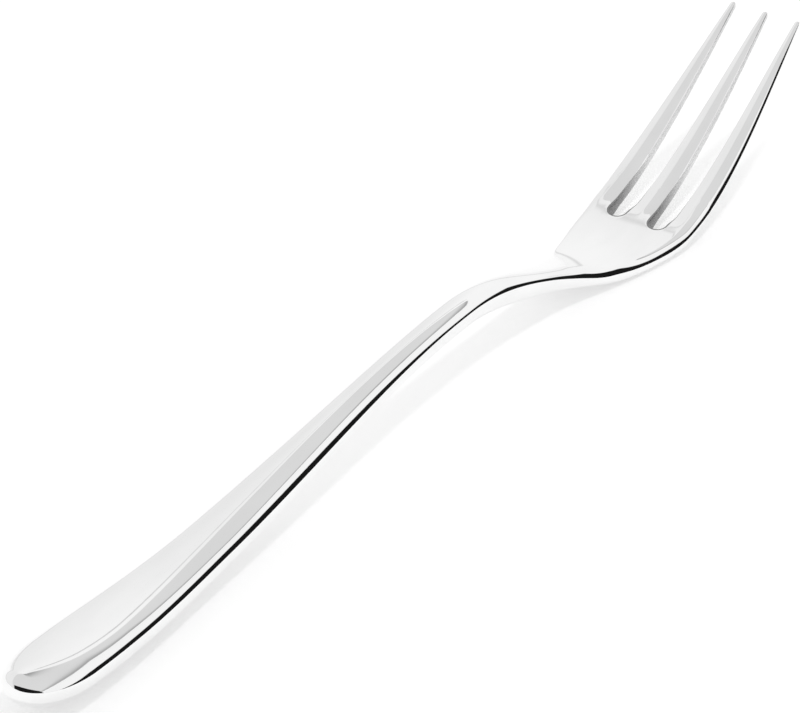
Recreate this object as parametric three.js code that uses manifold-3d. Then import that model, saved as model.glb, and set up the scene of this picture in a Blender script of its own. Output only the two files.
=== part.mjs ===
// A three-tine table fork of solid polished steel, in millimetres, resting on the plane z = 0.
// X runs along the fork towards the tine tips, Y to its left and Z up.
import * as THREE from 'three';
import { mergeVertices } from 'three/addons/utils/BufferGeometryUtils.js';
import Module from 'manifold-3d';

const wasm = await Module();
wasm.setup();

// Lengths along the table, from the handle end to the tine tips
const END_TO_REST = 21;
const REST_TO_CROWN = 88.2;
const CROWN_TO_PALM = 44;
const PALM_TO_TIPS = 46;

// The side view: heights of the middle of the metal and the slopes at both ends
const END_HEIGHT = 4.85;
const END_SLOPE = -0.168;
const CROWN_HEIGHT = 10.8;
const TIP_HEIGHT = 23.2;
const TIP_SLOPE = 0.62;
const REST_LAND_DEPTH = 0.1;

// Thicknesses from top to bottom, and the slopes of half the thickness there
const HANDLE_THICKNESS = 7.67;
const HANDLE_THINNING_SLOPE = -0.008;
const GRIP_THICKNESS = 5.5;
const GRIP_THINNING_SLOPE = -0.004;
const CROWN_THICKNESS = 4.9;
const CROWN_THINNING_SLOPE = -0.02;
const PALM_THICKNESS = 2.5;
const PALM_THINNING_SLOPE = -0.01;
const TIP_THICKNESS = 0.9;
const TIP_THINNING_SLOPE = -0.02;

// The plan view: full widths, where they are reached and the slopes of half the width there
const END_TO_WIDEST = 12.8;
const HANDLE_WIDTH = 12.27;
const END_TO_GRIP = 46;
const GRIP_WIDTH = 9.2;
const GRIP_TAPER_SLOPE = -0.033;
const WAIST_TO_CROWN = 4.3;
const WAIST_WIDTH = 5.1;
const THROAT_TO_PALM = 22;
const THROAT_WIDTH = 6.4;
const THROAT_SLOPE = 0.08;
const PLATE_TO_PALM = 17;
const SHOULDER_TO_PALM = 8;
const SHOULDER_WIDTH = 12.9;
const SHOULDER_SLOPE = 0.28;
const PALM_TO_WIDEST = 10;
const HEAD_WIDTH = 19.3;

// The cross-curve of the head: humped where the neck spreads, then dished over the palm and flat at the tines
const HUMP_TO_PALM = 13;
const HUMP_RADIUS = 60;
const DISH_RADIUS = 120;

// The rounded handle end: how far the rounding reaches in plan, over the top and under the bottom
const END_PLAN_ROUND = 11.8;
const END_TOP_ROUND = 2.1;
const END_BOTTOM_ROUND = 10.2;

// The tines and the slots between them
const TINE_LENGTH = 38.6;
const SLOT_SPACING = 7.5;
const SLOT_RADIUS = 1.35;
const TIP_SPACING = 6.05;
const TIP_WIDTH = 1;
const TIP_ROUND = 0.8;
const OUTER_TAPER_SLOPE = -0.11;
const SLOT_TAPER_SLOPE = 0.04;
const ROOT_TAPER_SLOPE = -0.03;
const TINE_TAPER_SLOPE = -0.09;

// The share of the thickness that lies under the widest level of a cross-section, and its change per millimetre
const END_BELLY = 0.677;
const END_BELLY_SLOPE = 0.0043;
const END_TO_LEAST_BELLY = 54;
const LEAST_BELLY = 0.49;
const CROWN_BELLY = 0.77;
const PLATE_BELLY = 0.62;
const PLATE_BELLY_SLOPE = -0.02;
const SHOULDER_BELLY = 0.32;
const SLOT_BELLY = 0.26;

// How square the rounded part of a cross-section is: 2 is an ellipse, more is fuller at the corners
const END_SQUARENESS = 1.6;
const HANDLE_SQUARENESS = 2.67;
const OVAL_TO_WAIST = 8;
const NECK_SQUARENESS = 1.65;
const PLATE_SQUARENESS = 2.7;
const PLATE_SQUARING_SLOPE = 0.05;
const EDGE_SQUARENESS = 1.8;
const UNDERSIDE_SQUARENESS = 1.8;
const PLATE_UNDERSIDE_SQUARENESS = 3.4;
const TINE_SQUARENESS = 1.85;
const SLOT_EDGE_SQUARENESS = 4;

// How far in from its edges the palm is rounded, and a slot end
const SHOULDER_REACH = 1.2;
const EDGE_REACH = 1.55;
const SLOT_EDGE_REACH = 0.5;

// Facets around a cross-section, steps of a loft, and the share of a section left flat at a rounded end
const SECTION_POINTS = 32;
const LOFT_STEP = 2.6;
const ROUND_STEPS = 8;
const END_FACE_SHARE = 0.02;

// Stations along the fork, from the handle end
const restX = END_TO_REST;
const crownX = restX + REST_TO_CROWN;
const palmX = crownX + CROWN_TO_PALM;
const length = palmX + PALM_TO_TIPS;
const waistX = crownX - WAIST_TO_CROWN;
const throatX = palmX - THROAT_TO_PALM;
const plateX = palmX - PLATE_TO_PALM;
const humpX = palmX - HUMP_TO_PALM;
const shoulderX = palmX - SHOULDER_TO_PALM;
const widestX = palmX + PALM_TO_WIDEST;
const slotX = length - TINE_LENGTH;
const neckEndX = (crownX + shoulderX) / 2;

// A smooth curve through stations of [position, value, slope], cubic between neighbours
function curveThrough(stations) {
  return (x) => {
    let i = 0;
    while (i < stations.length - 2 && x > stations[i + 1][0]) i += 1;
    const [x0, v0, s0] = stations[i];
    const [x1, v1, s1] = stations[i + 1];
    const span = x1 - x0;
    const t = THREE.MathUtils.clamp((x - x0) / span, 0, 1);
    const rise = t * t * (3 - 2 * t);
    const lead = t * (1 - t) * (1 - t);
    const trail = t * t * (t - 1);
    return v0 + (v1 - v0) * rise + span * (s0 * lead + s1 * trail);
  };
}

const halfThickness = curveThrough([
  [0, HANDLE_THICKNESS / 2, HANDLE_THINNING_SLOPE],
  [END_TO_GRIP, GRIP_THICKNESS / 2, GRIP_THINNING_SLOPE],
  [crownX, CROWN_THICKNESS / 2, CROWN_THINNING_SLOPE],
  [palmX, PALM_THICKNESS / 2, PALM_THINNING_SLOPE],
  [length, TIP_THICKNESS / 2, TIP_THINNING_SLOPE],
]);

// Both lowest places reach a little under the table plane, where a flat land is cut
const spineHeight = curveThrough([
  [0, END_HEIGHT, END_SLOPE],
  [restX, halfThickness(restX) - REST_LAND_DEPTH, 0],
  [crownX, CROWN_HEIGHT, 0],
  [palmX, PALM_THICKNESS / 2 - REST_LAND_DEPTH, 0],
  [length, TIP_HEIGHT, TIP_SLOPE],
]);

const outerEdge = curveThrough([
  [END_TO_WIDEST, HANDLE_WIDTH / 2, 0],
  [END_TO_GRIP, GRIP_WIDTH / 2, GRIP_TAPER_SLOPE],
  [waistX, WAIST_WIDTH / 2, 0],
  [throatX, THROAT_WIDTH / 2, THROAT_SLOPE],
  [shoulderX, SHOULDER_WIDTH / 2, SHOULDER_SLOPE],
  [widestX, HEAD_WIDTH / 2, 0],
  [length, TIP_SPACING + TIP_WIDTH / 2, OUTER_TAPER_SLOPE],
]);

const slotOuterEdge = curveThrough([
  [slotX, SLOT_SPACING / 2 + SLOT_RADIUS, 0],
  [length, TIP_SPACING - TIP_WIDTH / 2, SLOT_TAPER_SLOPE],
]);

const slotInnerEdge = curveThrough([
  [slotX, SLOT_SPACING / 2 - SLOT_RADIUS, ROOT_TAPER_SLOPE],
  [length, TIP_WIDTH / 2, TINE_TAPER_SLOPE],
]);

const belly = curveThrough([
  [0, END_BELLY, END_BELLY_SLOPE],
  [END_TO_LEAST_BELLY, LEAST_BELLY, 0],
  [crownX, CROWN_BELLY, 0],
  [plateX, PLATE_BELLY, PLATE_BELLY_SLOPE],
  [shoulderX, SHOULDER_BELLY, 0],
  [slotX, SLOT_BELLY, 0],
]);

const topSquareness = curveThrough([
  [0, END_SQUARENESS, 0],
  [restX, HANDLE_SQUARENESS, 0],
  [waistX - OVAL_TO_WAIST, NECK_SQUARENESS, 0],
  [plateX, PLATE_SQUARENESS, PLATE_SQUARING_SLOPE],
  [shoulderX, EDGE_SQUARENESS, 0],
]);

const bottomSquareness = curveThrough([
  [crownX, UNDERSIDE_SQUARENESS, 0],
  [plateX, PLATE_UNDERSIDE_SQUARENESS, 0],
  [shoulderX, EDGE_SQUARENESS, 0],
]);

const edgeReach = curveThrough([
  [plateX, outerEdge(plateX), 0],
  [shoulderX, SHOULDER_REACH, 0],
  [slotX, EDGE_REACH, 0],
]);

// How sharply a cross-section is bent up at its sides
const sidewaysBend = curveThrough([
  [crownX, 0, 0],
  [humpX, -1 / HUMP_RADIUS, 0],
  [palmX, 1 / DISH_RADIUS, 0],
  [slotX, 0, 0],
]);

// The share of the full height at a distance in from a rounded edge, which is 1 beyond the reach
function rounding(distance, reach, squareness) {
  const left = 1 - THREE.MathUtils.clamp(distance / reach, 0, 1);
  return (1 - left ** squareness) ** (1 / squareness);
}

// A quarter ellipse that closes the section over the last stretch before an end
function endRound(distance, reach) {
  return Math.max(rounding(distance, reach, 2), END_FACE_SHARE);
}

function slopeAt(x) {
  const step = 0.01;
  return (spineHeight(x + step) - spineHeight(x - step)) / (2 * step);
}

// Half the height of an upright cut through the metal, which leans with the spine
function halfHeight(x) {
  return halfThickness(x) * Math.hypot(1, slopeAt(x));
}

function widestLevel(x, y) {
  return spineHeight(x) + halfHeight(x) * (2 * belly(x) - 1) + (sidewaysBend(x) * y * y) / 2;
}

function heightAbove(x) {
  return 2 * halfHeight(x) * (1 - belly(x));
}

function depthBelow(x) {
  return 2 * halfHeight(x) * belly(x);
}

// One closed ring of points across the fork at x, between two edges, closed in at a rounded end
function sectionRing(x, right, left, form, closing) {
  const centre = (left + right) / 2;
  const halfWidth = (left - right) / 2;
  const flat = halfWidth - form.reach;
  const quarter = SECTION_POINTS / 4;
  const ring = [];
  for (let i = 0; i < SECTION_POINTS; i += 1) {
    const onTop = i < 2 * quarter;
    const squareness = onTop ? form.top : form.bottom;
    const fromMiddle = Math.abs(quarter - (i % (2 * quarter))) / quarter;
    const rounded = form.reach * Math.sin((fromMiddle * Math.PI) / 2) ** (2 / squareness);
    const across = flat * Math.min(2 * fromMiddle, 1) + rounded;
    const share = rounding(halfWidth - across, form.reach, squareness);
    const towardsLeft = i < quarter || i > 3 * quarter;
    const y = centre + (towardsLeft ? 1 : -1) * across * closing.plan;
    const lift = onTop ? heightAbove(x) * share * closing.top : -depthBelow(x) * share * closing.bottom;
    ring.push(new THREE.Vector3(x, y, widestLevel(x, y) + lift));
  }
  return ring;
}

// A solid skin over rings of equal count, closed by a fan at each end
function loft(rings) {
  const count = rings[0].length;
  const positions = [];
  const indices = [];
  for (const ring of rings) {
    for (const point of ring) positions.push(...point.toArray());
  }
  for (let r = 0; r < rings.length - 1; r += 1) {
    for (let i = 0; i < count; i += 1) {
      const a = r * count + i;
      const b = r * count + ((i + 1) % count);
      indices.push(a, b, b + count, a, b + count, a + count);
    }
  }
  const ends = [[0, -1], [rings.length - 1, 1]];
  for (const [r, facing] of ends) {
    const middle = new THREE.Vector3();
    for (const point of rings[r]) middle.add(point);
    positions.push(...middle.divideScalar(count).toArray());
    const hub = positions.length / 3 - 1;
    for (let i = 0; i < count; i += 1) {
      const a = r * count + i;
      const b = r * count + ((i + 1) % count);
      if (facing > 0) indices.push(hub, a, b);
      else indices.push(hub, b, a);
    }
  }
  const geometry = new THREE.BufferGeometry();
  geometry.setAttribute('position', new THREE.Float32BufferAttribute(positions, 3));
  geometry.setIndex(indices);
  return geometry;
}

// Even stations from start to end, each about one loft step apart
function evenStations(start, end) {
  const steps = Math.ceil((end - start) / LOFT_STEP);
  return Array.from({ length: steps + 1 }, (_, i) => start + ((end - start) * i) / steps);
}

// Distances from a rounded end, close together where the rounding is tightest
function roundStations(reach) {
  const distances = [];
  for (let i = 0; i < ROUND_STEPS; i += 1) {
    distances.push(reach * (1 - Math.cos(((i / ROUND_STEPS) * Math.PI) / 2)));
  }
  return distances;
}

function bodyRing(x) {
  const closing = {
    plan: endRound(x, END_PLAN_ROUND),
    top: endRound(x, END_TOP_ROUND),
    bottom: endRound(x, END_BOTTOM_ROUND),
  };
  const reach = x < plateX ? outerEdge(x) : edgeReach(x);
  const form = { reach, top: topSquareness(x), bottom: bottomSquareness(x) };
  return sectionRing(x, -outerEdge(x), outerEdge(x), form, closing);
}

function tineRing(x, edges) {
  const share = endRound(length - x, TIP_ROUND);
  const [right, left] = edges(x);
  const form = { reach: (left - right) / 2, top: TINE_SQUARENESS, bottom: TINE_SQUARENESS };
  return sectionRing(x, right, left, form, { plan: share, top: share, bottom: share });
}

function makeTine(edges) {
  const stations = evenStations(slotX, length - TIP_ROUND);
  const tip = roundStations(TIP_ROUND).map((distance) => length - distance);
  return loft([...stations, ...tip.reverse()].map((x) => tineRing(x, edges)));
}

function toSolid(geometry) {
  const bare = geometry.clone();
  bare.deleteAttribute('normal');
  bare.deleteAttribute('uv');
  const merged = mergeVertices(bare, 1e-4);
  const vertProperties = new Float32Array(merged.attributes.position.array);
  const triVerts = new Uint32Array(merged.index.array);
  return new wasm.Manifold(new wasm.Mesh({ numProp: 3, vertProperties, triVerts }));
}

function toGeometry(solid) {
  const mesh = solid.getMesh();
  const geometry = new THREE.BufferGeometry();
  geometry.setAttribute('position', new THREE.BufferAttribute(new Float32Array(mesh.vertProperties), 3));
  geometry.setIndex(new THREE.BufferAttribute(new Uint32Array(mesh.triVerts), 1));
  return geometry;
}

// The block under the table plane, which leaves a flat land wherever the fork would sink into it
function tableBlock() {
  const depth = 10;
  const block = new THREE.BoxGeometry(2 * length, 2 * HEAD_WIDTH, depth);
  block.translate(length / 2, 0, -depth / 2);
  return toSolid(block);
}

// The end of a slot: a round hole that widens at both faces
function slotEnd(side) {
  const steps = 10;
  const overreach = 1.2;
  const above = heightAbove(slotX);
  const below = depthBelow(slotX);
  const profile = [];
  for (let i = -steps; i <= steps; i += 1) {
    const up = i / steps;
    const narrowing = SLOT_EDGE_REACH * rounding(1 - Math.abs(up), 1, SLOT_EDGE_SQUARENESS);
    profile.push(new THREE.Vector2(SLOT_RADIUS + SLOT_EDGE_REACH - narrowing, up * (up > 0 ? above : below)));
  }
  const bottom = profile[0].clone().setY(-below * overreach);
  const top = profile[2 * steps].clone().setY(above * overreach);
  const closed = [new THREE.Vector2(0, bottom.y), bottom, ...profile, top, new THREE.Vector2(0, top.y)];
  const cutter = new THREE.LatheGeometry(closed, SECTION_POINTS);
  const y = (side * SLOT_SPACING) / 2;
  cutter.rotateX(Math.PI / 2);
  cutter.rotateY(-Math.atan(slopeAt(slotX)));
  cutter.translate(slotX, y, widestLevel(slotX, y));
  return toSolid(cutter);
}

function makeHandle() {
  const end = roundStations(END_PLAN_ROUND);
  const grip = loft([...end, ...evenStations(END_PLAN_ROUND, waistX)].map(bodyRing));
  return toGeometry(toSolid(grip).subtract(tableBlock()));
}

function makeNeck() {
  return loft(evenStations(waistX, neckEndX).map(bodyRing));
}

function makePalm() {
  let plate = toSolid(loft(evenStations(neckEndX, slotX).map(bodyRing)));
  plate = plate.subtract(tableBlock());
  for (const side of [1, -1]) plate = plate.subtract(slotEnd(side));
  return toGeometry(plate);
}

function polishedSteel() {
  return new THREE.MeshStandardMaterial({ color: 0xe4e5e6, metalness: 1, roughness: 0.12 });
}

const fork = new THREE.Group();

function addPiece(name, geometry) {
  geometry.computeVertexNormals();
  const piece = new THREE.Mesh(geometry, polishedSteel());
  piece.name = name;
  fork.add(piece);
}

addPiece('handle', makeHandle());
addPiece('neck', makeNeck());
addPiece('palm', makePalm());
addPiece('tine_left', makeTine((x) => [slotOuterEdge(x), outerEdge(x)]));
addPiece('tine_middle', makeTine((x) => [-slotInnerEdge(x), slotInnerEdge(x)]));
addPiece('tine_right', makeTine((x) => [-outerEdge(x), -slotOuterEdge(x)]));

// The origin lies on the table under the middle of the fork
fork.position.x = -length / 2;

export default fork;
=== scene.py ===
# A three-tine table fork of mirror-polished steel lying on a white table, in metres.
# X runs along the fork towards the tine tips, Y to its left and Z up.
import math

import bpy
import numpy as np
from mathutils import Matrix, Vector


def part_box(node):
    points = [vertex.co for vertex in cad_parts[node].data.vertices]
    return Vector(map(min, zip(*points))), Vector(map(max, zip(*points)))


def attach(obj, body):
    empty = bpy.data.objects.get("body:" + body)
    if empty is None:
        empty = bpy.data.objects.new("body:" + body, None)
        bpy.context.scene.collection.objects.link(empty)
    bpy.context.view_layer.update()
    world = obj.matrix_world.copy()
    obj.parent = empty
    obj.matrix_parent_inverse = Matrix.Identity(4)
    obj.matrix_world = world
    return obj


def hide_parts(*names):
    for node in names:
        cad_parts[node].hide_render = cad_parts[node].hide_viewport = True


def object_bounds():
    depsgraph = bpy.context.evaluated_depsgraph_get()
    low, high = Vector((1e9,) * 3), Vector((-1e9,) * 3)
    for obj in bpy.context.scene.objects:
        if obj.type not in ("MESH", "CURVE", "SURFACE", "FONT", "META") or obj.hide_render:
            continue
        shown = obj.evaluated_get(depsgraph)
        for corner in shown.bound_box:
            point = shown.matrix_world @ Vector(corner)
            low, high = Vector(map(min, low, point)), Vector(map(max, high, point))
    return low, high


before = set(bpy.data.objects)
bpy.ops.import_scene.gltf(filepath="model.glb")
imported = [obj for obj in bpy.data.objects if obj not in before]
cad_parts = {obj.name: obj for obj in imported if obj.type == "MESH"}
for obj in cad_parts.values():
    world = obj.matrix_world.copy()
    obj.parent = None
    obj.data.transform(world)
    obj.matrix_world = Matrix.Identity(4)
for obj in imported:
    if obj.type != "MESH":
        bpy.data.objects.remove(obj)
cad_low, cad_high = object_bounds()

MM = 0.001

# The side view: heights of the middle of the metal, slopes at both ends, thicknesses,
# and how fast half the thickness falls along the fork
END_TO_REST = 21 * MM
REST_TO_CROWN = 88.2 * MM
CROWN_TO_PALM = 44 * MM
END_HEIGHT = 4.85 * MM
END_SLOPE = -0.168
CROWN_HEIGHT = 10.8 * MM
TIP_HEIGHT = 23.2 * MM
TIP_SLOPE = 0.62
REST_LAND_DEPTH = 0.1 * MM
HANDLE_THICKNESS = 7.67 * MM
GRIP_THICKNESS = 5.5 * MM
CROWN_THICKNESS = 4.9 * MM
PALM_THICKNESS = 2.5 * MM
TIP_THICKNESS = 0.9 * MM
HANDLE_THINNING = 0.008
GRIP_THINNING = 0.004
CROWN_THINNING = 0.02
PALM_THINNING = 0.01
TIP_THINNING = 0.02

# The plan view: full widths, and where they are reached
END_TO_WIDEST = 12.8 * MM
HANDLE_WIDTH = 12.27 * MM
END_TO_GRIP = 46 * MM
GRIP_WIDTH = 9.2 * MM
GRIP_TAPER = 0.033
WAIST_TO_CROWN = 4.3 * MM
WAIST_WIDTH = 5.1 * MM
THROAT_TO_PALM = 22 * MM
THROAT_WIDTH = 6.4 * MM
THROAT_SLOPE = 0.08
PLATE_TO_PALM = 17 * MM
SHOULDER_TO_PALM = 8 * MM
SHOULDER_WIDTH = 12.9 * MM
SHOULDER_SLOPE = 0.28
PALM_TO_WIDEST = 10 * MM
HEAD_WIDTH = 19.3 * MM
HUMP_TO_PALM = 13 * MM
HUMP_RADIUS = 60 * MM
DISH_RADIUS = 120 * MM

# The share of the thickness that lies under the widest level of a cross-section
END_BELLY = 0.677
END_BELLY_SLOPE = 0.0043 / MM
END_TO_LEAST_BELLY = 54 * MM
LEAST_BELLY = 0.49
CROWN_BELLY = 0.77
PLATE_BELLY = 0.62
PLATE_BELLY_SLOPE = -0.02 / MM
SHOULDER_BELLY = 0.32
SLOT_BELLY = 0.26
FLANK_BELLY = 0.4

# The rounded handle end: how far the rounding reaches in plan, over the top and under the bottom
END_PLAN_ROUND = 11.8 * MM
END_TOP_ROUND = 2.1 * MM
END_BOTTOM_ROUND = 10.2 * MM

# The tines and the slots between them
SLOT_SPACING = 7.5 * MM
SLOT_RADIUS = 1.35 * MM
TIP_SPACING = 6.05 * MM
TIP_WIDTH = 1 * MM
TIP_ROUND = 0.8 * MM
ROOT_TAPER = 0.03
TINE_TAPER = 0.09
OUTER_TAPER = 0.11
SLOT_TAPER = 0.04

# How square a cross-section is: 2 is an ellipse, more is a plate with rounded edges,
# and how far in from its edges it is rounded
ELLIPSE = 2
END_SQUARENESS = 1.6
HANDLE_SQUARENESS = 2.67
OVAL_TO_WAIST = 8 * MM
NECK_SQUARENESS = 1.65
PLATE_SQUARENESS = 2.7
PLATE_SQUARING = 0.05 / MM
EDGE_SQUARENESS = 1.8
UNDERSIDE_SQUARENESS = 1.8
PLATE_UNDERSIDE_SQUARENESS = 3.4
SHOULDER_REACH = 1.2 * MM
EDGE_REACH = 1.55 * MM
SLOT_EDGE_ROUND = 0.5 * MM
SLOT_EDGE_SQUARENESS = 4

# The flanks of the tines: shares of half a tine's width, the fall of the crowned top to its edges,
# and the lengths over which they come in past the slot ends
CROWNING_LENGTH = 3 * MM
OUTER_CROWNING_LENGTH = 9 * MM
FLANK_SQUARENESS = 1.3
OUTER_FLANK_SHARE = 0.32
OUTER_DROP = 0.3
SLOT_FLANK_SHARE = 0.2
SLOT_FLANK_TIP_SHARE = 0.3
SLOT_DROP = 0.36
PALM_TO_FLANK = 5 * MM
SLOT_TO_FLANK = 7 * MM

# The satin walls of the slots: shares of the flank's width, and how far along they narrow
ROOT_WALL_SHARE = 1.2
TINE_WALL_SHARE = 0.58
TIP_WALL_SHARE = 0.68
WALL_NARROWING = 13 * MM

# Fineness of the skin: steps and counts, what is too small to matter, and the length over which
# its rows bend towards the slot ends
ROW_STEP = 0.7 * MM
END_ROWS = 30
END_GAP = 0.0005 * MM
TIP_ROWS = 10
OUTER_COLUMNS = 16
SLOT_COLUMNS = 12
MIDDLE_COLUMNS = 12
COLLAR_COLUMNS = 8
SECTION_SAMPLES = 400
TURN_WEIGHT = 0.6
LEAST_TURN = 0.2
SLOPE_STEP = 0.01 * MM
LEAST_SHARE = 1e-9
SLOT_DRAW = 10 * MM

# Stations along the fork, from the handle end
low_x = cad_low.x
length = cad_high.x - cad_low.x
rest_x = END_TO_REST
crown_x = rest_x + REST_TO_CROWN
palm_x = crown_x + CROWN_TO_PALM
grip_x = END_TO_GRIP
waist_x = crown_x - WAIST_TO_CROWN
throat_x = palm_x - THROAT_TO_PALM
plate_x = palm_x - PLATE_TO_PALM
hump_x = palm_x - HUMP_TO_PALM
shoulder_x = palm_x - SHOULDER_TO_PALM
widest_x = palm_x + PALM_TO_WIDEST
slot_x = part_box("tine_middle")[0].x - low_x


def curve_through(*stations):
    """A smooth curve through stations of (position, value, slope), cubic between neighbours."""

    def curve(x):
        i = 0
        while i < len(stations) - 2 and x > stations[i + 1][0]:
            i += 1
        x0, v0, s0 = stations[i]
        x1, v1, s1 = stations[i + 1]
        span = x1 - x0
        t = min(max((x - x0) / span, 0), 1)
        rise = t * t * (3 - 2 * t)
        lead = t * (1 - t) * (1 - t)
        trail = t * t * (t - 1)
        return v0 + (v1 - v0) * rise + span * (s0 * lead + s1 * trail)

    return curve


half_thickness = curve_through(
    (0, HANDLE_THICKNESS / 2, -HANDLE_THINNING),
    (grip_x, GRIP_THICKNESS / 2, -GRIP_THINNING),
    (crown_x, CROWN_THICKNESS / 2, -CROWN_THINNING),
    (palm_x, PALM_THICKNESS / 2, -PALM_THINNING),
    (length, TIP_THICKNESS / 2, -TIP_THINNING),
)

spine_height = curve_through(
    (0, END_HEIGHT, END_SLOPE),
    (rest_x, half_thickness(rest_x) - REST_LAND_DEPTH, 0),
    (crown_x, CROWN_HEIGHT, 0),
    (palm_x, PALM_THICKNESS / 2 - REST_LAND_DEPTH, 0),
    (length, TIP_HEIGHT, TIP_SLOPE),
)

outer_edge = curve_through(
    (END_TO_WIDEST, HANDLE_WIDTH / 2, 0),
    (grip_x, GRIP_WIDTH / 2, -GRIP_TAPER),
    (waist_x, WAIST_WIDTH / 2, 0),
    (throat_x, THROAT_WIDTH / 2, THROAT_SLOPE),
    (shoulder_x, SHOULDER_WIDTH / 2, SHOULDER_SLOPE),
    (widest_x, HEAD_WIDTH / 2, 0),
    (length, TIP_SPACING + TIP_WIDTH / 2, -OUTER_TAPER),
)

slot_outer_edge = curve_through(
    (slot_x, SLOT_SPACING / 2 + SLOT_RADIUS, 0),
    (length, TIP_SPACING - TIP_WIDTH / 2, SLOT_TAPER),
)

slot_inner_edge = curve_through(
    (slot_x, SLOT_SPACING / 2 - SLOT_RADIUS, -ROOT_TAPER),
    (length, TIP_WIDTH / 2, -TINE_TAPER),
)

squareness = curve_through(
    (0, END_SQUARENESS, 0),
    (rest_x, HANDLE_SQUARENESS, 0),
    (waist_x - OVAL_TO_WAIST, NECK_SQUARENESS, 0),
    (plate_x, PLATE_SQUARENESS, PLATE_SQUARING),
    (shoulder_x, EDGE_SQUARENESS, 0),
)
under_squareness = curve_through(
    (crown_x, UNDERSIDE_SQUARENESS, 0),
    (plate_x, PLATE_UNDERSIDE_SQUARENESS, 0),
    (shoulder_x, EDGE_SQUARENESS, 0),
)
edge_reach = curve_through(
    (plate_x, outer_edge(plate_x), 0),
    (shoulder_x, SHOULDER_REACH, 0),
    (slot_x, EDGE_REACH, 0),
)
belly = curve_through(
    (0, END_BELLY, END_BELLY_SLOPE),
    (END_TO_LEAST_BELLY, LEAST_BELLY, 0),
    (crown_x, CROWN_BELLY, 0),
    (plate_x, PLATE_BELLY, PLATE_BELLY_SLOPE),
    (shoulder_x, SHOULDER_BELLY, 0),
    (slot_x, SLOT_BELLY, 0),
)
sideways = curve_through(
    (crown_x, 0, 0),
    (hump_x, -1 / HUMP_RADIUS, 0),
    (palm_x, 1 / DISH_RADIUS, 0),
    (slot_x, 0, 0),
)
wall_share = curve_through(
    (slot_x + CROWNING_LENGTH, ROOT_WALL_SHARE, 0),
    (slot_x + WALL_NARROWING, TINE_WALL_SHARE, 0),
    (length, TIP_WALL_SHARE, 0),
)
slot_flank = curve_through(
    (slot_x + CROWNING_LENGTH, SLOT_FLANK_SHARE, 0),
    (length, SLOT_FLANK_TIP_SHARE, 0),
)
crowning = curve_through((slot_x, 0, 0), (slot_x + CROWNING_LENGTH, 1, 0))
outer_crowning = curve_through((slot_x, 0, 0), (slot_x + OUTER_CROWNING_LENGTH, 1, 0))
flank_rise = curve_through(
    (palm_x + PALM_TO_FLANK, 0, 0),
    (slot_x + SLOT_TO_FLANK, FLANK_BELLY - SLOT_BELLY, 0),
)


def between(start, end, share):
    return start + (end - start) * share


def slope_at(x):
    return (spine_height(x + SLOPE_STEP) - spine_height(x - SLOPE_STEP)) / (2 * SLOPE_STEP)


def rounding(distance, reach, power):
    """Share of the full height at a distance in from a rounded edge, which is 1 beyond the reach."""
    t = np.clip(distance / reach, 0, 1)
    return (1 - (1 - t) ** power) ** (1 / power)


def insets(reach, power, limit):
    """Distances in from a rounded edge up to a limit, close together at the edge."""
    angle = np.linspace(0, 1, SECTION_SAMPLES) ** 2 * math.pi / 2
    inset = reach * (1 - np.cos(angle) ** (2 / power))
    return np.append(inset[inset < limit], limit)


def spread(across, share, height, count):
    """Columns over a stretch of a section, close together where it is long or turns sharply."""
    run = np.hypot(np.diff(across), np.diff(share * height))
    heading = np.unwrap(np.arctan2(np.diff(share * height), np.diff(across)))
    turn = np.abs(np.diff(heading, append=heading[-1]))
    weight = run / run.sum() + TURN_WEIGHT * turn / max(turn.sum(), LEAST_TURN)
    travelled = np.concatenate(([0], np.cumsum(weight)))
    marks = np.linspace(0, travelled[-1], count + 1)
    return np.interp(marks, travelled, across), np.interp(marks, travelled, share)


def settled(share):
    """A share of the height, and exactly none at an edge, where the two surfaces meet."""
    return 0 if share < LEAST_SHARE else share


def half_height(x):
    """Half the upright thickness of the sloping metal."""
    return half_thickness(x) * math.hypot(1, slope_at(x))


def belly_at(x, y):
    """The share under the widest level at a place: the outer edges carry it higher along the tines."""
    rise = flank_rise(x)
    if rise == 0:
        return belly(x)
    inner = slot_outer_edge(x)
    outward = min(max((abs(y) - inner) / (outer_edge(x) - inner), 0), 1)
    return belly(x) + rise * outward


def reach(x):
    """How far in from its edge the section is rounded: to the middle, but less on the palm."""
    return outer_edge(x) if x < plate_x else edge_reach(x)


def body_share(x, y):
    return float(rounding(outer_edge(x) - abs(y), reach(x), squareness(x)))


def under_share(x, y):
    return float(rounding(outer_edge(x) - abs(y), reach(x), under_squareness(x)))


# The two finishes
POLISHED = 0
SATIN = 1


class Skin:
    """Vertices and faces of the fork's outer surface."""

    def __init__(self):
        self.points = []
        self.faces = []
        self.finishes = []

    def add(self, x, y, lift):
        widest = spine_height(x) + half_height(x) * (2 * belly_at(x, y) - 1)
        z = widest + sideways(x) * y * y / 2 + lift
        self.points.append((low_x + x, y, max(z, 0)))
        return len(self.points) - 1

    def pair(self, x, y, above, below):
        """The points over and under the middle of the metal, one point where the two surfaces meet."""
        top = self.add(x, y, above)
        bottom = top if above == 0 else self.add(x, y, -below)
        return top, bottom

    def patch(self, near, far, finish, flip):
        """A row of quads between two rows of points."""
        for j in range(len(near) - 1):
            corners = [near[j], near[j + 1], far[j + 1], far[j]]
            self.faces.append(corners[::-1] if flip else corners)
            self.finishes.append(finish[j])

    def cover(self, rows, finish, flip=False):
        """Top and bottom patches over rows of point pairs."""
        for near, far in zip(rows, rows[1:]):
            for side in (0, 1):
                self.patch([p[side] for p in near], [p[side] for p in far], finish, flip != (side == 1))

    def close(self, row, flip):
        """The small face that closes a rounded end."""
        ring = [p[0] for p in row] + [p[1] for p in row[-2:0:-1]]
        self.faces.append(ring[::-1] if flip else ring)
        self.finishes.append(POLISHED)


skin = Skin()

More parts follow.
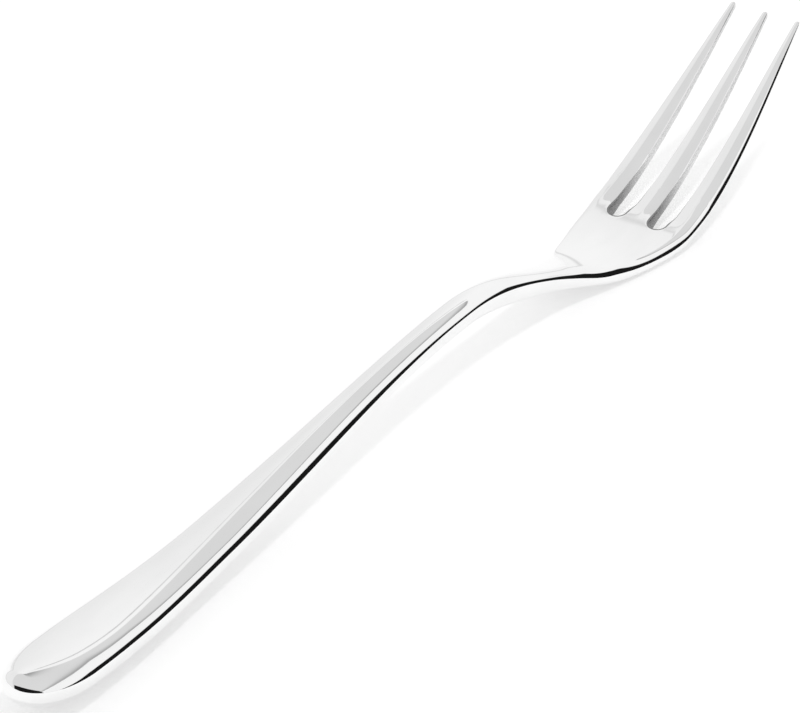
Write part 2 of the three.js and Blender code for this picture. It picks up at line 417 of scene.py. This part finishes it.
# Where the slots are set out: the strips of metal that run on as tines and the strips that end at a slot
collar_radius = SLOT_RADIUS + SLOT_EDGE_ROUND
strip_shares = [
    (SLOT_SPACING / 2 + collar_radius) / outer_edge(slot_x),
    (SLOT_SPACING / 2 - collar_radius) / outer_edge(slot_x),
]
arc_angles = np.linspace(0, math.pi, SLOT_COLUMNS + 1)
arc_shares = (1 - np.cos(arc_angles)) / 2


def body_row(x):
    """Point pairs across the fork, left to right, with the slot strips drawn back to the slot ends."""
    plan = rounding(max(x, END_GAP), END_PLAN_ROUND, ELLIPSE)
    top = rounding(max(x, END_GAP), END_TOP_ROUND, ELLIPSE)
    bottom = rounding(max(x, END_GAP), END_BOTTOM_ROUND, ELLIPSE)
    half = outer_edge(x)
    outer, inner = [share * half for share in strip_shares]
    inset = insets(reach(x), squareness(x), half - outer)
    edge_share = rounding(inset, reach(x), squareness(x))
    edge_y, edge_share = spread(half - inset, edge_share, half_height(x), OUTER_COLUMNS)
    left = [(x, y, share) for y, share in zip(edge_y, edge_share)]
    drawn = max(x - (slot_x - SLOT_DRAW), 0) / SLOT_DRAW
    for angle, share in zip(arc_angles[1:], arc_shares[1:]):
        back = x - drawn * collar_radius * math.sin(angle)
        y = between(outer, inner, share)
        left.append((back, y, body_share(back, y)))
    middle = []
    for y in np.linspace(inner, -inner, MIDDLE_COLUMNS + 1)[1:-1]:
        middle.append((x, y, body_share(x, y)))
    right = [(at, -y, share) for at, y, share in reversed(left)]
    row = []
    for at, y, share in left + middle + right:
        above = half_height(at) * 2 * (1 - belly_at(at, y)) * share * top
        below = half_height(at) * 2 * belly_at(at, y) * under_share(at, y) * bottom
        row.append(skin.pair(at, y * plan, above, below))
    return row


def tine_profile(x, left, right, left_outer, right_outer):
    """Places across one tine, left to right, and the share of the full height at each."""
    crown = crowning(x)
    outer_crown = outer_crowning(x)
    half = (left - right) / 2
    reaches = []
    powers = []
    for outer in (left_outer, right_outer):
        if outer:
            reaches.append(between(EDGE_REACH, half * OUTER_FLANK_SHARE, outer_crown))
            powers.append(between(EDGE_SQUARENESS, FLANK_SQUARENESS, outer_crown))
        else:
            reaches.append(between(SLOT_EDGE_ROUND, half * slot_flank(x), crown))
            powers.append(between(SLOT_EDGE_SQUARENESS, FLANK_SQUARENESS, crown))
    from_left = insets(reaches[0], powers[0], half)
    from_right = insets(reaches[1], powers[1], half)
    across = np.concatenate((left - from_left, (right + from_right)[-2::-1]))
    left_share = rounding(left - across, reaches[0], powers[0])
    right_share = rounding(across - right, reaches[1], powers[1])
    share = left_share * right_share
    for outer, inset in ((left_outer, left - across), (right_outer, across - right)):
        drop = outer_crown * OUTER_DROP if outer else crown * SLOT_DROP
        share = share * (1 - drop * (1 - np.clip(inset / half, 0, 1)) ** 2)
    return across, share


def tine_row(x, left, right, left_outer, right_outer, count):
    """Point pairs across one tine, left to right: a strip, with a collar at each edge on a slot."""
    across, share = tine_profile(x, left, right, left_outer, right_outer)
    closing = float(rounding(max(length - x, END_GAP), TIP_ROUND, ELLIPSE))
    height = 2 * half_height(x) * closing
    half = (left - right) / 2
    collar = between(SLOT_EDGE_ROUND, half * slot_flank(x) * wall_share(x), crowning(x))
    cuts = [left]
    counts = []
    if not left_outer:
        cuts.append(left - collar)
        counts.append(COLLAR_COLUMNS)
    counts.append(count)
    if not right_outer:
        cuts.append(right + collar)
        counts.append(COLLAR_COLUMNS)
    cuts.append(right)
    ys = []
    shares = []
    for start, end, number in zip(cuts, cuts[1:], counts):
        inside = (across < start) & (across > end)
        stretch = np.concatenate(([start], across[inside], [end]))
        stretch_share = np.interp(-stretch, -across, share)
        y, s = spread(stretch, stretch_share, half_height(x), number)
        first = 1 if ys else 0
        ys.extend(y[first:])
        shares.extend(s[first:])
    centre = (left + right) / 2
    row = []
    for y, share in zip(ys, shares):
        tall = settled(share) * height
        under = belly_at(x, y)
        drawn_in = centre + (y - centre) * closing
        row.append(skin.pair(x, drawn_in, tall * (1 - under), tall * under))
    return row


end_angles = np.linspace(0, 1, END_ROWS + 1) * math.pi / 2
end_stations = [END_PLAN_ROUND * (1 - math.cos(angle)) for angle in end_angles]
body_steps = round((slot_x - END_PLAN_ROUND) / ROW_STEP)
body_stations = end_stations + list(np.linspace(END_PLAN_ROUND, slot_x, body_steps + 1)[1:])
tine_steps = round((length - TIP_ROUND - slot_x) / ROW_STEP)
tine_stations = list(np.linspace(slot_x, length - TIP_ROUND, tine_steps + 1))
tip_angles = np.linspace(0, 1, TIP_ROWS + 1)[1:] * math.pi / 2
tine_stations += [length - TIP_ROUND * (1 - math.sin(angle)) for angle in tip_angles]

body_rows = [body_row(x) for x in body_stations]
columns = len(body_rows[0]) - 1
skin.cover(body_rows, [POLISHED] * columns)
skin.close(body_rows[0], True)
last_row = body_rows[-1]

# The collars round the slot ends, from the plate down the wall of the slot
wall = [SATIN] * COLLAR_COLUMNS
collar_inset = insets(SLOT_EDGE_ROUND, SLOT_EDGE_SQUARENESS, SLOT_EDGE_ROUND)[::-1]
collar_share = rounding(collar_inset, SLOT_EDGE_ROUND, SLOT_EDGE_SQUARENESS)
collar_y, collar_share = spread(collar_inset, collar_share, half_height(slot_x), COLLAR_COLUMNS)
collars = {}
for side, first in ((1, OUTER_COLUMNS), (-1, OUTER_COLUMNS + SLOT_COLUMNS + MIDDLE_COLUMNS)):
    rows = []
    for j, angle in enumerate(arc_angles):
        row = [last_row[first + j]]
        for inset, share in zip(collar_y[1:], collar_share[1:]):
            radius = SLOT_RADIUS + inset
            x = slot_x - radius * math.sin(angle)
            y = side * SLOT_SPACING / 2 + radius * math.cos(angle)
            tall = 2 * half_height(x) * body_share(x, y) * settled(share)
            row.append(skin.pair(x, y, tall * (1 - belly(x)), tall * belly(x)))
        rows.append(row)
    skin.cover(rows, wall, True)
    collars[side] = rows

# The tines run on from the strips of the palm and from the collars
strip = last_row[: OUTER_COLUMNS + 1]
roots = {"left": strip + collars[1][0][1:]}
first = OUTER_COLUMNS + SLOT_COLUMNS
strip = last_row[first : first + MIDDLE_COLUMNS + 1]
roots["middle"] = collars[1][-1][:0:-1] + strip + collars[-1][0][1:]
strip = last_row[-OUTER_COLUMNS - 1 :]
roots["right"] = collars[-1][-1][:0:-1] + strip


def tine_edges(name, x):
    if name == "left":
        return outer_edge(x), slot_outer_edge(x)
    if name == "middle":
        return slot_inner_edge(x), -slot_inner_edge(x)
    return -slot_outer_edge(x), -outer_edge(x)


for name, root in roots.items():
    left_outer = name == "left"
    right_outer = name == "right"
    count = MIDDLE_COLUMNS if name == "middle" else OUTER_COLUMNS
    rows = [root]
    for x in tine_stations[1:]:
        left, right = tine_edges(name, x)
        rows.append(tine_row(x, left, right, left_outer, right_outer, count))
    finish = [POLISHED] * count
    if not left_outer:
        finish = wall + finish
    if not right_outer:
        finish = finish + wall
    skin.cover(rows, finish)
    skin.close(rows[-1], False)


def make_object(name, points, faces):
    mesh = bpy.data.meshes.new(name)
    mesh.from_pydata(points, [], faces)
    mesh.update()
    obj = bpy.data.objects.new(name, mesh)
    bpy.context.scene.collection.objects.link(obj)
    return obj


fork = make_object("fork_forging", skin.points, skin.faces)
for polygon, finish in zip(fork.data.polygons, skin.finishes):
    polygon.material_index = finish
    polygon.use_smooth = True


class Graph:
    """The nodes of a material or of the world, with the few kinds of node that are used."""

    def __init__(self, tree):
        self.nodes = tree.nodes
        self.links = tree.links

    def feed(self, socket, value):
        """A number or a vector written on a socket, or the output of another node led to it."""
        if isinstance(value, bpy.types.NodeSocket):
            self.links.new(value, socket)
        else:
            socket.default_value = value

    def math(self, operation, first, second):
        node = self.nodes.new("ShaderNodeMath")
        node.operation = operation
        self.feed(node.inputs[0], first)
        self.feed(node.inputs[1], second)
        return node.outputs[0]

    def ramp(self, value, start, end, low=0.0, high=1.0):
        """Low before the start, high past the end and smooth between."""
        node = self.nodes.new("ShaderNodeMapRange")
        node.interpolation_type = "SMOOTHSTEP"
        self.feed(node.inputs["Value"], value)
        self.feed(node.inputs["From Min"], start)
        self.feed(node.inputs["From Max"], end)
        self.feed(node.inputs["To Min"], low)
        self.feed(node.inputs["To Max"], high)
        return node.outputs["Result"]

    def place(self, kind):
        return self.nodes.new("ShaderNodeTexCoord").outputs[kind]

    def grain(self, size, detail):
        """Noise in the metal, with lumps of the given size along each axis."""
        scale = self.nodes.new("ShaderNodeMapping")
        self.feed(scale.inputs["Vector"], self.place("Object"))
        self.feed(scale.inputs["Scale"], [1 / side for side in size])
        noise = self.nodes.new("ShaderNodeTexNoise")
        self.feed(noise.inputs["Vector"], scale.outputs["Vector"])
        self.feed(noise.inputs["Scale"], 1.0)
        self.feed(noise.inputs["Detail"], detail)
        return noise.outputs["Fac"]

    def bump(self, height, depth):
        node = self.nodes.new("ShaderNodeBump")
        self.feed(node.inputs["Height"], height)
        self.feed(node.inputs["Distance"], depth)
        return node.outputs["Normal"]

    def along(self, axis):
        """How far the direction of a ray points along an axis."""
        dot = self.nodes.new("ShaderNodeVectorMath")
        dot.operation = "DOT_PRODUCT"
        self.feed(dot.inputs[0], self.place("Generated"))
        self.feed(dot.inputs[1], axis)
        return dot.outputs["Value"]

    def rim(self, value, centre, half_width):
        """A thin line where a value passes a centre."""
        up = self.ramp(value, centre - half_width, centre)
        down = self.ramp(value, centre, centre + half_width)
        return self.math("SUBTRACT", up, down)

    def layer(self, below, share, level):
        """A level laid over what is below it."""
        gap = self.math("SUBTRACT", level, below)
        return self.math("ADD", below, self.math("MULTIPLY", gap, share))


def new_material(name):
    material = bpy.data.materials.new(name)
    material.use_nodes = True
    graph = Graph(material.node_tree)
    return material, graph, graph.nodes["Principled BSDF"].inputs


# The span of the noise that is used
NOISE_LOW = 0.3
NOISE_HIGH = 0.7

# The polish: hair-fine lines along the fork and broad, faint clouding
POLISH_GREYS = (0.885, 0.915)
POLISH_ROUGHNESS = (0.03, 0.055)
LINE_DETAIL = 3.0
CLOUD_DETAIL = 2.0
LINE_SIZE = (18 * MM, 0.12 * MM, 0.12 * MM)
LINE_DEPTH = 0.0004 * MM
CLOUD_SIZE = (14 * MM, 5 * MM, 5 * MM)

# The grain on the walls of the slots, and painted shade that makes the walls darkest in the slot ends
PAINTED_SHADE_TO_SATIN_GREYS = (0.3, 0.92)
SATIN_ROUGHNESS = (0.4, 0.55)
GRAIN_SHADES = (0.85, 1.08)
GRAIN_DETAIL = 4.0
GRAIN_SIZE = (0.3 * MM, 0.3 * MM, 0.12 * MM)
GRAIN_DEPTH = 0.012 * MM
PAINTED_SHADE_FADE = 16 * MM


def polished_steel():
    material, graph, inputs = new_material("polished_steel")
    lines = graph.grain(LINE_SIZE, LINE_DETAIL)
    clouds = graph.grain(CLOUD_SIZE, CLOUD_DETAIL)
    graph.feed(inputs["Metallic"], 1.0)
    graph.feed(inputs["Base Color"], graph.ramp(clouds, NOISE_LOW, NOISE_HIGH, *POLISH_GREYS))
    graph.feed(inputs["Roughness"], graph.ramp(lines, NOISE_LOW, NOISE_HIGH, *POLISH_ROUGHNESS))
    graph.feed(inputs["Normal"], graph.bump(lines, LINE_DEPTH))
    return material


def satin_steel_with_painted_shade():
    material, graph, inputs = new_material("satin_steel_with_painted_shade")
    grain = graph.grain(GRAIN_SIZE, GRAIN_DETAIL)
    place = graph.nodes.new("ShaderNodeSeparateXYZ")
    graph.feed(place.inputs[0], graph.place("Object"))
    root = low_x + slot_x - SLOT_RADIUS
    # Painted shade: the wall colour is dark at the slot end and lightens to the plain satin grey along
    # the tines
    painted_shade = graph.ramp(place.outputs["X"], root, root + PAINTED_SHADE_FADE, *PAINTED_SHADE_TO_SATIN_GREYS)
    shade = graph.math("MULTIPLY", painted_shade, graph.ramp(grain, NOISE_LOW, NOISE_HIGH, *GRAIN_SHADES))
    graph.feed(inputs["Metallic"], 1.0)
    graph.feed(inputs["Base Color"], shade)
    graph.feed(inputs["Roughness"], graph.ramp(grain, NOISE_LOW, NOISE_HIGH, *SATIN_ROUGHNESS))
    graph.feed(inputs["Normal"], graph.bump(grain, GRAIN_DEPTH))
    return material


fork.data.materials.append(polished_steel())
fork.data.materials.append(satin_steel_with_painted_shade())
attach(fork, "root")
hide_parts("handle", "neck", "palm", "tine_left", "tine_middle", "tine_right")

# The white table, which glows only where it is seen, straight or mirrored in the steel
FLOOR_HALF = 6.0
FLOOR_DROP = 0.02 * MM
FLOOR_GREY = 0.72
FLOOR_GLOW = 0.4
FLOOR_CORNERS = ((-1, -1), (1, -1), (1, 1), (-1, 1))
floor = make_object(
    "table_top",
    [(sx * FLOOR_HALF, sy * FLOOR_HALF, -FLOOR_DROP) for sx, sy in FLOOR_CORNERS],
    [(0, 1, 2, 3)],
)
white, graph, inputs = new_material("white_table")
path = graph.nodes.new("ShaderNodeLightPath").outputs
seen = graph.math("ADD", path["Is Camera Ray"], path["Is Glossy Ray"])
seen = graph.math("ADD", seen, path["Is Transmission Ray"])
graph.feed(inputs["Base Color"], (FLOOR_GREY, FLOOR_GREY, FLOOR_GREY, 1))
graph.feed(inputs["Roughness"], 1.0)
graph.feed(inputs["Specular IOR Level"], 0.0)
graph.feed(inputs["Emission Color"], (1, 1, 1, 1))
graph.feed(inputs["Emission Strength"], graph.math("MULTIPLY", seen, FLOOR_GLOW))
floor.data.materials.append(white)


def heading(azimuth, elevation):
    """A unit vector from degrees round from X and degrees up."""
    a = math.radians(azimuth)
    e = math.radians(elevation)
    return Vector((math.cos(e) * math.cos(a), math.cos(e) * math.sin(a), math.sin(e)))


# The room: pale walls, a greyer ceiling with dark rims, and two dark openings low down, one with
# a falling upper edge
WALL = 0.9
SOFTBOX = 1.0
CEILING = 0.76
CEILING_EDGE = 0.32
RIM = 0.58
FAR_RIM = 0.76
DARK_RIM = 0.35
HORIZON = 0.74
DARK = 0.01
SOFTBOX_AZIMUTH = -53
SOFTBOX_START = -0.25
SOFTBOX_END = 0.2
LEFT_RIM = Vector((-0.066, -0.872, 0.485))
RIGHT_RIM = Vector((0.708, -0.422, -0.566))
CEILING_START = 0.025
CEILING_END = 0.085
SHADING_START = 0.03
SHADING_END = 0.1
RIM_FADE = -0.25
RIM_START = -0.06
RIM_WIDTH = 0.02
DARK_RIM_WIDTH = 0.016
HORIZON_HEIGHT = 0.05
EDGE = 0.012
SIDE_EDGE = 0.024
UP = Vector((0, 0, 1))
FALLING_EDGE = Vector((0.9, 0.067, -1))
NEAR_OPENING = {"azimuth": -47, "top": 30, "half_width": 45}
FAR_OPENING = {"azimuth": -145, "top": 26, "half_width": 40}

world = bpy.data.worlds.new("studio")
world.use_nodes = True
bpy.context.scene.world = world
graph = Graph(world.node_tree)


def opening(azimuth, top, half_width):
    """Where a low opening with a level upper edge is seen, with its angles in degrees."""
    edge = heading(azimuth, 0) * math.tan(math.radians(top)) - UP
    left = heading(azimuth + half_width, 0).cross(UP)
    right = UP.cross(heading(azimuth - half_width, 0))
    inside = graph.math(
        "MULTIPLY",
        graph.ramp(graph.along(left), -SIDE_EDGE, SIDE_EDGE),
        graph.ramp(graph.along(right), -SIDE_EDGE, SIDE_EDGE),
    )
    return graph.math("MULTIPLY", graph.ramp(graph.along(edge), -EDGE, EDGE), inside)


past_left = graph.ramp(graph.along(LEFT_RIM), CEILING_START - EDGE, CEILING_START + EDGE)
before_right = graph.ramp(graph.along(RIGHT_RIM), CEILING_END - EDGE, CEILING_END + EDGE, 1.0, 0.0)
shading = graph.ramp(graph.along(RIGHT_RIM), SHADING_START, SHADING_END, CEILING, CEILING_EDGE)
faint_rim = graph.rim(graph.along(LEFT_RIM), RIM_START, RIM_WIDTH)
towards_softbox = graph.along(heading(SOFTBOX_AZIMUTH, 0))
light = graph.ramp(towards_softbox, SOFTBOX_START, SOFTBOX_END, WALL, SOFTBOX)
light = graph.layer(light, graph.math("MULTIPLY", past_left, before_right), shading)
dark_rim = graph.rim(graph.along(RIGHT_RIM), CEILING_END, DARK_RIM_WIDTH)
light = graph.layer(light, graph.math("MULTIPLY", dark_rim, past_left), DARK_RIM)
rim_level = graph.ramp(graph.along(RIGHT_RIM), RIM_FADE, 0.0, FAR_RIM, RIM)
light = graph.layer(light, graph.math("MULTIPLY", faint_rim, before_right), rim_level)
light = graph.layer(light, graph.rim(graph.along(UP), HORIZON_HEIGHT, RIM_WIDTH), HORIZON)
falling = graph.ramp(graph.along(FALLING_EDGE), -EDGE, EDGE)
near_opening = graph.math("MULTIPLY", opening(**NEAR_OPENING), falling)
light = graph.layer(light, near_opening, DARK)
light = graph.layer(light, opening(**FAR_OPENING), DARK)
background = graph.nodes["Background"].inputs
graph.feed(background["Color"], (1, 1, 1, 1))
graph.feed(background["Strength"], light)

# A small soft lamp high overhead gives the table its faint shadow
LAMP_SIZE = 0.12
LAMP_POWER = 1.7
LAMP_AIM = Vector((0.02, 0, 0))
LAMP_AZIMUTH = -80
LAMP_ELEVATION = 78
LAMP_DISTANCE = 1.0

lamp_data = bpy.data.lights.new("lamp", "AREA")
lamp_data.shape = "DISK"
lamp_data.size = LAMP_SIZE
lamp_data.energy = LAMP_POWER
lamp = bpy.data.objects.new("lamp", lamp_data)
lamp.location = LAMP_AIM + heading(LAMP_AZIMUTH, LAMP_ELEVATION) * LAMP_DISTANCE
lamp.rotation_euler = (LAMP_AIM - lamp.location).to_track_quat("-Z", "Y").to_euler()
lamp.visible_glossy = False
bpy.context.scene.collection.objects.link(lamp)

# The camera looks along the fork from behind its handle, to the right
CAMERA_AZIMUTH = math.radians(55.54)
CAMERA_ELEVATION = math.radians(32.2)
CAMERA_DISTANCE = 0.7
CAMERA_LENS = 208.5
SENSOR_WIDTH = 36
CLIP_START = 0.01
CAMERA_AIM = Vector((0.88, 4.93, 6.11)) * MM

ahead = Vector((
    math.cos(CAMERA_ELEVATION) * math.sin(CAMERA_AZIMUTH),
    math.cos(CAMERA_ELEVATION) * math.cos(CAMERA_AZIMUTH),
    -math.sin(CAMERA_ELEVATION),
))
camera_data = bpy.data.cameras.new("camera")
camera_data.lens = CAMERA_LENS
camera_data.sensor_width = SENSOR_WIDTH
camera_data.clip_start = CLIP_START
camera = bpy.data.objects.new("camera", camera_data)
camera.location = CAMERA_AIM - ahead * CAMERA_DISTANCE
camera.rotation_euler = ahead.to_track_quat("-Z", "Y").to_euler()
bpy.context.scene.collection.objects.link(camera)
bpy.context.scene.camera = camera

bpy.context.scene.view_settings.view_transform = "Standard"
